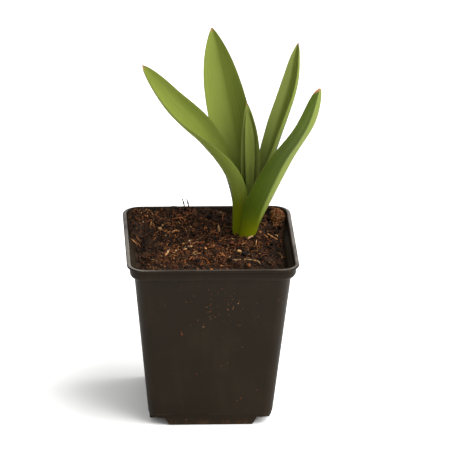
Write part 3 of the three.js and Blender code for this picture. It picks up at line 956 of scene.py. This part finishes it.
@dataclass
class ScrapHeap:
    """Loose bits that become one piece together. Millimetres."""

    name: str
    seed: int
    tone: tuple[float, float] = (0.65, 1.25)

    def __post_init__(self) -> None:
        """Starts the heap empty."""
        self.whole = bmesh.new()
        self.chance = random.Random(self.seed)
        self.start_batch()

    def start_batch(self) -> None:
        """Starts a small batch of bits."""
        self.bm = bmesh.new()
        self.layer = self.bm.verts.layers.float_color.new("tint")

    def pour(self) -> None:
        """Adds the batch to the whole heap and starts the next one."""
        mesh = bpy.data.meshes.new("batch")
        self.bm.to_mesh(mesh)
        self.bm.free()
        self.whole.from_mesh(mesh)
        bpy.data.meshes.remove(mesh)
        self.start_batch()

    def paint(self, verts: list[bmesh.types.BMVert], kind: Kind) -> None:
        """Tints one bit in its kind's colour, a little different each time."""
        tone = self.chance.uniform(*self.tone)
        warm = self.chance.uniform(0.93, 1.08)
        red, green, blue = kind.value
        colour = rgb(min(red * tone * warm, 240), min(green * tone, 225), min(blue * tone / warm, 205))
        for vert in verts:
            vert[self.layer] = colour
        if len(self.bm.verts) > 2000:
            self.pour()

    def add_lump(self, at: Vector, size: Triple, kind: Kind, heading: float | None = None,
                 tilt: float = 0.5, detail: int = 1, rough: float = 0.28) -> None:
        """Adds one knobbly or splintery bit.

        Args:
            at: Its middle.
            size: Its half sizes.
            kind: What it is.
            heading: Which way its length points, in radians; any way if left out.
            tilt: How far it may lean, in radians.
            detail: How finely it is divided.
            rough: How uneven it is.
        """
        way = self.chance.uniform(0, 2 * math.pi) if heading is None else heading
        lean = Matrix.Rotation(self.chance.uniform(-tilt, tilt), 4, "X") @ Matrix.Rotation(
            self.chance.uniform(-tilt, tilt), 4, "Y")
        place = Matrix.Translation(at) @ Matrix.Rotation(way, 4, "Z") @ lean @ Matrix.Diagonal((*size, 1.0))
        verts = bmesh.ops.create_icosphere(self.bm, subdivisions=detail, radius=1.0)["verts"]
        for vert in verts:
            vert.co *= self.chance.uniform(1 - rough, 1 + rough)
        bmesh.ops.transform(self.bm, matrix=place, verts=verts)
        self.paint(verts, kind)

    def add_strand(self, points: list[Vector], radius: float, kind: Kind, rows: int = 6, sides: int = 4,
                   blunt: float = 0.3) -> None:
        """Adds one thin strand along a curve, tapered to its ends.

        Args:
            points: The points it runs through.
            radius: Its radius in the middle.
            kind: What it is.
            rows: Faces along it.
            sides: Faces round it.
            blunt: How thick its ends are, as a share of the middle.
        """
        phase = self.chance.uniform(0, 9)

        def place(around: float, along: float) -> Vector:
            """A point on the strand's skin."""
            spot = through_points(points, along)
            ahead = through_points(points, min(along + 0.05, 1))
            ahead = ahead - through_points(points, max(along - 0.05, 0))
            side = ahead.orthogonal().normalized()
            up = side.cross(ahead).normalized()
            turn = around * 2 * math.pi
            knots = 1 + 0.22 * math.sin(along * 17 + phase)
            thick = radius * knots * (blunt + (1 - blunt) * math.sin(math.pi * along) ** 0.7)
            thick *= 0.05 if along < 0.001 or along > 0.999 else 1.0
            return spot + (side * math.cos(turn) + up * math.sin(turn)) * thick

        self.paint(wrap_grid(self.bm, sides, rows, place), kind)

    def build(self, finish: ScrapFinish, slot: str) -> bpy.types.Object:
        """Makes the piece.

        Args:
            finish: Its finish.
            slot: The record's material slot; it is not used.

        Returns:
            The piece.
        """
        self.pour()
        self.bm.free()
        bmesh.ops.remove_doubles(self.whole, verts=self.whole.verts, dist=0.0004)
        bmesh.ops.recalc_face_normals(self.whole, faces=self.whole.faces)
        return add_piece(self.whole, self.name, finish.build())


@dataclass
class Litter:
    """Clods, crumbs, chips and fibres scattered over the peat. Millimetres."""

    soil: PottingSoil
    clods: int = 300
    crumbs: int = 3600
    chips: int = 330
    fibres: int = 1350
    seed: int = 11
    reach: float = 41.0
    corner_radius: float = 6.0
    neck_clearance: float = 5.5

    def spot(self, chance: random.Random, dry: bool) -> tuple[float, float]:
        """A random place on the peat, clear of the neck; a dry scrap keeps to the drier places, out of the
        painted shade.
        """
        while True:
            x, y = chance.uniform(-self.reach, self.reach), chance.uniform(-self.reach, self.reach)
            edge = self.soil.pot.inner_half_at(self.soil.smooth_height(x, y) - 1.0) - 0.7
            straight = edge - self.corner_radius
            corner = math.hypot(max(abs(x) - straight, 0), max(abs(y) - straight, 0))
            if corner > self.corner_radius or (dry and chance.random() > self.soil.dry_and_unshaded(x, y)):
                continue
            if math.hypot(x - self.soil.neck[0], y - self.soil.neck[1]) > self.neck_clearance:
                return x, y

    def rest(self, x: float, y: float, above: float) -> Vector:
        """A point a little above the peat."""
        return Vector((x, y, self.soil.height(x, y) + above))

    def build_clods(self) -> None:
        """Scatters the soft clods of peat."""
        heap = ScrapHeap("peat_clods", self.seed)
        for _ in range(self.clods):
            x, y = self.spot(heap.chance, False)
            size = heap.chance.uniform(0.8, 1.7)
            kind = heap.chance.choice([Kind.DARK, Kind.PEAT, Kind.PEAT])
            shape = (size, size * heap.chance.uniform(0.7, 1.0), size * 0.7)
            heap.add_lump(self.rest(x, y, size * 0.15), shape, kind, detail=2)
        heap.build(ScrapFinish("peat_clod", 0.92, (900, 900, 900), 0.0003), "peat")

    def build_crumbs(self) -> None:
        """Scatters the crumbs."""
        heap = ScrapHeap("peat_crumbs", self.seed + 1)
        kinds = [Kind.PEAT] * 10 + [Kind.DARK] * 8 + [Kind.RUST] * 5 + [Kind.BARK] * 2
        for _ in range(self.crumbs):
            kind = heap.chance.choice(kinds)
            x, y = self.spot(heap.chance, kind in (Kind.RUST, Kind.BARK))
            size = heap.chance.uniform(0.22, 0.62)
            shape = (size * heap.chance.uniform(0.8, 1.5), size * heap.chance.uniform(0.7, 1.1), size * 0.75)
            heap.add_lump(self.rest(x, y, size * 0.45), shape, kind)
        heap.build(ScrapFinish("peat_crumb", 0.92), "peat")

    def build_chips(self) -> None:
        """Scatters the torn bark and wood chips."""
        heap = ScrapHeap("bark_scraps", self.seed + 2)
        kinds = [Kind.RUST] * 8 + [Kind.BARK] * 8 + [Kind.TAN] * 3 + [Kind.PALE]
        for _ in range(self.chips):
            x, y = self.spot(heap.chance, True)
            long = heap.chance.uniform(0.5, 1.5)
            shape = (long, heap.chance.uniform(0.22, 0.5), heap.chance.uniform(0.14, 0.3))
            heap.add_lump(self.rest(x, y, 0.45), shape, heap.chance.choice(kinds), tilt=0.9)
        heap.build(ScrapFinish("bark_scrap", 0.85), "bark")

    def build_fibres(self) -> None:
        """Scatters the fibres and fine roots."""
        heap = ScrapHeap("peat_fibres", self.seed + 3)
        kinds = [Kind.PEAT] * 8 + [Kind.RUST] * 8 + [Kind.BARK] * 6 + [Kind.TAN]
        chance = heap.chance
        for _ in range(self.fibres):
            x, y = self.spot(chance, True)
            length, heading = chance.uniform(1.4, 5.2), chance.uniform(0, 2 * math.pi)
            far_x = min(max(x + math.cos(heading) * length, -40), 40)
            far_y = min(max(y + math.sin(heading) * length, -40), 40)
            start, end = self.rest(x, y, 0.2), self.rest(far_x, far_y, chance.uniform(0.1, 0.9))
            bow = start.lerp(end, 0.5) + Vector([chance.uniform(-0.8, 0.8), chance.uniform(-0.8, 0.8),
                                                 chance.uniform(0.3, 1.3)])
            heap.add_strand([start, bow, end], chance.uniform(0.1, 0.26), chance.choice(kinds))
        heap.build(ScrapFinish("peat_strand", 0.8), "peat_fibre")

    def build(self) -> None:
        """Scatters everything."""
        self.build_clods()
        self.build_crumbs()
        self.build_chips()
        self.build_fibres()


@dataclass
class LooseFinds:
    """The bits that stand out on the peat, each in its own place. Millimetres."""

    soil: PottingSoil
    seed: int = 40

    def on_peat(self, x: float, y: float, above: float = 0.4) -> Vector:
        """A point a little above the peat."""
        return Vector((x, y, max(self.soil.height(x, y), self.soil.smooth_height(x, y)) + above))

    def build_bark_chip(self) -> None:
        """A broken bark chip in orange and tan lumps with one long shred."""
        heap = ScrapHeap("bark_chip_broken", self.seed, (0.9, 1.1))
        for x, y, size in ((-25.4, 24.1, 1.1), (-24.0, 26.6, 0.9)):
            heap.add_lump(self.on_peat(x, y), (size, size * 0.8, size * 0.9), Kind.TAN, detail=2)
        for x, y, size in ((-22.7, 21.4, 1.1), (-23.1, 18.9, 0.9), (-21.0, 19.9, 1.3), (-19.2, 19.6, 0.8)):
            heap.add_lump(self.on_peat(x, y), (size * 1.2, size * 0.6, size * 0.5), Kind.BARK, 0.4, detail=2)
        shred = [self.on_peat(*at) for at in ((-20.4, 19.4, 0.6), (-17.5, 20.5, 1.0), (-15.0, 21.4, 0.7))]
        heap.add_strand(shred, 0.42, Kind.TAN, 10, 6)
        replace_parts(heap.build(ScrapFinish("bark_chip", 0.85), "bark"), "bark_chip")

    def build_wood_chip(self) -> None:
        """A pale wood chip split into a cluster of slivers."""
        heap = ScrapHeap("wood_chip_split", self.seed + 1, (0.9, 1.12))
        for x, y, long, way, kind in ((-22.4, -4.4, 1.2, 1.2, Kind.PALE), (-23.4, -6.9, 1.3, 1.3, Kind.TAN),
                                      (-21.5, -2.6, 0.8, 0.3, Kind.PALE), (-18.1, -3.0, 1.3, 1.0, Kind.TAN),
                                      (-19.2, -5.6, 0.9, 0.5, Kind.BARK), (-26.0, -9.4, 1.2, 1.5, Kind.BARK),
                                      (-13.8, 7.4, 1.2, 1.9, Kind.TAN), (-10.3, 10.0, 0.8, 1.2, Kind.PALE),
                                      (-13.2, 0.2, 1.1, 0.2, Kind.TAN)):
            heap.add_lump(self.on_peat(x, y, 0.6), (long, 0.55, 0.5), kind, way, 0.6, 2)
        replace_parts(heap.build(ScrapFinish("wood_chip", 0.8), "bark"), "wood_chip")

    def build_splinter(self) -> None:
        """A wood splinter that stands up out of the peat, with chips at its foot."""
        heap = ScrapHeap("wood_splinter_torn", self.seed + 2, (0.95, 1.08))
        foot = self.on_peat(5.8, 19.8, 1.3)
        heap.add_lump(foot, (0.75, 0.45, 2.1), Kind.TAN, 0.2, 0.1, 2, 0.2)
        heap.add_lump(foot + Vector((-0.2, 0, 1.2)), (0.35, 0.3, 1.5), Kind.PALE, 0.2, 0.1, 2, 0.2)
        for x, y, size in ((3.6, 20.2, 1.0), (2.1, 19.0, 0.8), (4.5, 18.0, 0.8), (6.8, 18.6, 0.6)):
            heap.add_lump(self.on_peat(x, y), (size, size * 0.6, size * 0.5), Kind.BARK, detail=2)
        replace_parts(heap.build(ScrapFinish("wood_splinter", 0.8, (900, 900, 120)), "bark"), "wood_splinter")

    def build_peat_lump(self) -> None:
        """A matted ball of brown fibre against the back corner."""
        heap = ScrapHeap("peat_lump_matted", self.seed + 3, (0.7, 1.15))
        chance = heap.chance
        middle = Vector((37.4, 32.6, 92.2))
        for _ in range(16):
            drift = Vector((chance.uniform(-2.2, 2.2), chance.uniform(-2.4, 2.4), chance.uniform(-1.8, 2.0)))
            size = chance.uniform(1.3, 2.1)
            kind = chance.choice([Kind.RUST, Kind.BARK, Kind.PEAT])
            heap.add_lump(middle + drift, (size, size, size * 0.9), kind, detail=2)
        for x, y, z, size in ((35.2, 38.8, 94.6, 1.5), (33.2, 39.6, 93.9, 1.1), (36.8, 38.0, 93.8, 1.2)):
            heap.add_lump(Vector((x, y, z)), (size, size * 0.8, size), Kind.PEAT, detail=2)
        for _ in range(420):
            away = Vector((chance.gauss(0, 1), chance.gauss(0, 1), chance.gauss(0.3, 1))).normalized()
            drift = Vector((chance.gauss(0, 1), chance.gauss(0, 1), chance.gauss(0, 1))).cross(away) * 0.5
            ends = [(away + drift * share).normalized() * chance.uniform(3.3, 4.7)
                    for share in (-0.6, 0.0, 0.6)]
            kind = chance.choice([Kind.RUST, Kind.BARK, Kind.BARK, Kind.TAN])
            heap.add_strand([middle + end for end in ends], chance.uniform(0.1, 0.2), kind, 4)
        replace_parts(heap.build(ScrapFinish("peat_lump", 0.95), "peat_fibre"), "peat_lump")

    def build_moss(self) -> None:
        """The two dry moss stalks by the back wall, each with a thickened foot."""
        for side, x, y in (("left", -11.5, 39.5), ("right", -9.2, 39.2)):
            heap = ScrapHeap(f"moss_stalk_{side}_dry", self.seed + 4, (0.95, 1.05))
            foot = self.on_peat(x, y, -0.4)
            top = Vector((x - 1.4, y + 0.6, 100.0))
            bend = foot.lerp(top, 0.55) + Vector((0.25, 0, 0))
            heap.add_strand([foot, bend, top], 0.42, Kind.STALK, 16, 6, 0.65)
            heap.add_lump(foot + Vector((0, 0, 1.2)), (0.55, 0.5, 1.0), Kind.DARK, 0.0, 0.2, 2)
            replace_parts(heap.build(ScrapFinish(f"dry_moss_{side}"), "dry_moss"), f"moss_stalk_{side}")

    def build_rootlet(self) -> None:
        """The pale rootlet that lies on the peat in front."""
        heap = ScrapHeap("rootlet_pale", self.seed + 5, (1.0, 1.0))
        path = ((10.5, -16.0), (17.0, -14.5), (22.5, -14.8), (25.0, -17.5), (25.5, -22.0))
        heap.add_strand([self.on_peat(x, y, 0.7) for x, y in path], 0.34, Kind.TAN, 30, 8, 0.5)
        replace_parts(heap.build(ScrapFinish("rootlet", 0.7), "root"), "rootlet")

    def build_slivers(self) -> None:
        """Slivers, shreds and roots that stand out between the crumbs."""
        heap = ScrapHeap("peat_slivers", self.seed + 6, (0.92, 1.1))
        runs = (
            (Kind.PALE, 0.55, (20.5, 8.3), (23.5, 11.2)),
            (Kind.BARK, 0.6, (-18.6, 31.5), (-12.5, 31.4)),
            (Kind.RUST, 0.4, (-12.5, 31.4), (-8.1, 34.6)),
            (Kind.TAN, 0.42, (31.2, 17.0), (33.9, 14.6), (36.9, 12.0)),
            (Kind.TAN, 0.36, (-41.6, 11.5), (-37.8, 8.6)),
            (Kind.BARK, 0.55, (4.7, -6.5), (7.3, -12.0)),
            (Kind.TAN, 0.22, (25.4, 8.7), (24.9, 5.5), (24.6, 2.5)),
            (Kind.BARK, 0.45, (-9.7, -7.3), (-6.9, -2.8)),
            (Kind.RUST, 0.35, (-8.4, -15.2), (-6.5, -9.5)),
            (Kind.BARK, 0.4, (-11.6, -15.9), (-9.5, -11.9)),
            (Kind.TAN, 0.2, (35.7, -1.6), (37.4, -5.6), (37.8, -11.2)),
            (Kind.RUST, 0.3, (26.5, -10.9), (29.5, -8.2)),
            (Kind.BARK, 0.2, (8.0, 28.4), (8.4, 33.0), (9.4, 38.4)),
            (Kind.BARK, 0.5, (28.6, 14.4), (31.4, 11.0)),
            (Kind.RUST, 0.5, (-6.6, 6.4), (-2.0, 9.0)),
            (Kind.BARK, 0.4, (-9.4, 5.2), (-5.4, 9.4)),
            (Kind.TAN, 0.4, (14.0, -31.0), (19.5, -33.0)),
            (Kind.BARK, 0.45, (30.0, -36.4), (34.0, -33.8)),
        )
        for kind, radius, *path in runs:
            points = [self.on_peat(x, y, radius + 0.5) for x, y in path]
            if len(points) == 2:
                points.insert(1, points[0].lerp(points[1], 0.5) + Vector((0, 0, 0.3)))
            heap.add_strand(points, radius, kind, 10, 6, 0.4)
        for kind, x, y, size in ((Kind.TAN, 15.3, -3.6, 1.3), (Kind.BARK, 19.4, -22.0, 1.2),
                                 (Kind.BARK, 1.8, 3.0, 1.2), (Kind.RUST, -0.6, 6.5, 1.3),
                                 (Kind.RUST, 12.0, 5.5, 1.1), (Kind.BARK, 27.6, 17.6, 1.1),
                                 (Kind.TAN, -2.2, 0.4, 0.8), (Kind.BARK, 30.5, 13.0, 1.0)):
            heap.add_lump(self.on_peat(x, y, 0.6), (size, size * 0.75, size * 0.7), kind, detail=2)
        heap.add_lump(Vector((-1.4, -43.2, 94.1)), (1.1, 0.5, 0.35), Kind.BARK, 0.1, 0.1, 2)
        for x, size in ((-14.4, 0.8), (-16.6, 0.6), (-6.6, 0.8), (-12.6, 0.5), (-8.0, 0.5)):
            heap.add_lump(Vector((x, 42.0, 94.2)), (size, size * 0.7, size * 0.9), Kind.DARK, detail=2)
        heap.build(ScrapFinish("peat_sliver", 0.82, (900, 900, 500)), "bark")

    def build(self) -> None:
        """Lays every find in its place."""
        self.build_bark_chip()
        self.build_wood_chip()
        self.build_splinter()
        self.build_peat_lump()
        self.build_moss()
        self.build_rootlet()
        self.build_slivers()


@dataclass
class PotCrumbs:
    """Peat crumbs that stick to the front of the pot. Millimetres."""

    pot: NurseryPot
    specks: int = 60
    seed: int = 71

    def build(self) -> None:
        """Sticks the crumbs on."""
        heap = ScrapHeap("pot_crumbs", self.seed, (0.75, 1.05))
        chance = heap.chance

        def stick(x: float, z: float, size: float, tall: float, kind: Kind) -> None:
            """Puts one crumb on the front wall."""
            at = Vector((x, -self.pot.half_at(z) - 0.05, z))
            heap.add_lump(at, (size, 0.16, size * tall), kind, 0.0, 0.1, 1 if size < 0.4 else 2)

        stick(-16.2, 55.0, 0.8, 1.0, Kind.RUST)
        stick(-16.5, 56.2, 0.5, 1.3, Kind.RUST)
        for x, z, size in ((4.4, 82.0, 0.4), (-1.4, 72.2, 0.42), (6.4, 75.9, 0.38), (7.8, 69.4, 0.45),
                           (9.3, 73.4, 0.35), (-9.9, 66.7, 0.35), (-7.9, 63.4, 0.38), (0.0, 66.3, 0.4),
                           (27.9, 63.9, 0.35), (22.6, 60.0, 0.35), (24.6, 58.8, 0.35), (-16.8, 83.3, 0.4)):
            stick(x, z, size * 0.85, 1.0, Kind.RUST)
        stick(-28.5, 42.6, 0.45, 1.0, Kind.PEAT)
        stick(-8.1, 31.1, 0.45, 1.2, Kind.PEAT)
        stick(15.6, 16.2, 0.3, 1.8, Kind.RUST)
        stick(-13.0, 3.6, 0.28, 1.0, Kind.PALE)
        for _ in range(self.specks):
            x, z = chance.gauss(6, 8), chance.gauss(71, 7)
            if abs(x) < 30 and 8 < z < 84:
                stick(x, z, chance.uniform(0.14, 0.26), 1.0, chance.choice([Kind.BARK, Kind.TAN, Kind.RUST]))
        heap.build(ScrapFinish("pot_crumb", 0.9), "peat")


# ---------------------------------------------------------------- studio
@dataclass
class Studio:
    """The floor, the soft lights and the camera. Metres and degrees."""

    eye: Triple = (-0.1201, -2.2242, 1.0168)
    aim: Triple = (0.0090, 0.010, 0.0964)
    roll: float = 0.82
    lens: float = 364.0
    sky_strength: float = 0.74

    def build_floor(self) -> None:
        """Lays the pale floor."""
        bm = bmesh.new()
        bmesh.ops.create_grid(bm, x_segments=2, y_segments=2, size=6.0)
        mesh = bpy.data.meshes.new("floor")
        bm.to_mesh(mesh)
        bm.free()
        floor = bpy.data.objects.new("floor", mesh)
        finish = PlainFinish("floor_paint", rgb(250, 250, 249), rgb(248, 248, 247), (3, 3, 3), 0.8)
        mesh.materials.append(finish.build())
        bpy.context.scene.collection.objects.link(floor)

    def add_softbox(self, name: str, at: Triple, size: float, power: float) -> None:
        """Hangs one square soft light that faces the plant.

        Args:
            name: The light's name.
            at: Its place.
            size: Its side.
            power: Its power in watts.
        """
        lamp = bpy.data.lights.new(name, "AREA")
        lamp.size = size
        lamp.energy = power
        light = bpy.data.objects.new(name, lamp)
        light.location = at
        light.rotation_euler = (Vector((0, 0, 0.1)) - Vector(at)).to_track_quat("-Z", "Y").to_euler()
        bpy.context.scene.collection.objects.link(light)

    def build(self) -> None:
        """Sets up the floor, lights, surroundings and camera."""
        self.build_floor()
        self.add_softbox("key_light", (1.25, -0.4, 1.6), 2.4, 100.0)
        self.add_softbox("fill_light", (0.6, -1.8, 0.8), 1.2, 2.0)
        scene = bpy.context.scene
        world = bpy.data.worlds.new("pale_room")
        world.use_nodes = True
        sky = world.node_tree.nodes["Background"].inputs
        sky["Color"].default_value = (1, 1, 1, 1)
        sky["Strength"].default_value = self.sky_strength
        scene.world = world
        scene.view_settings.view_transform = "Standard"
        lens = bpy.data.cameras.new("camera")
        lens.sensor_width = 36.0
        lens.lens = self.lens
        lens.clip_end = 50.0
        camera = bpy.data.objects.new("camera", lens)
        look = (Vector(self.aim) - Vector(self.eye)).to_track_quat("-Z", "Y").to_matrix().to_4x4()
        roll = Matrix.Rotation(math.radians(self.roll), 4, "Z")
        camera.matrix_world = Matrix.Translation(self.eye) @ look @ roll
        scene.collection.objects.link(camera)
        scene.camera = camera


def main() -> None:
    """Builds the potted plant and the studio, in order."""
    logging.basicConfig(level=logging.INFO, format="%(message)s")
    Studio().build()
    pot = NurseryPot()
    pot.build()
    soil = PottingSoil(pot)
    soil.build()
    Litter(soil).build()
    LooseFinds(soil).build()
    PotCrumbs(pot).build()
    AlliumPlant().build()


if __name__ == "__main__":
    main()
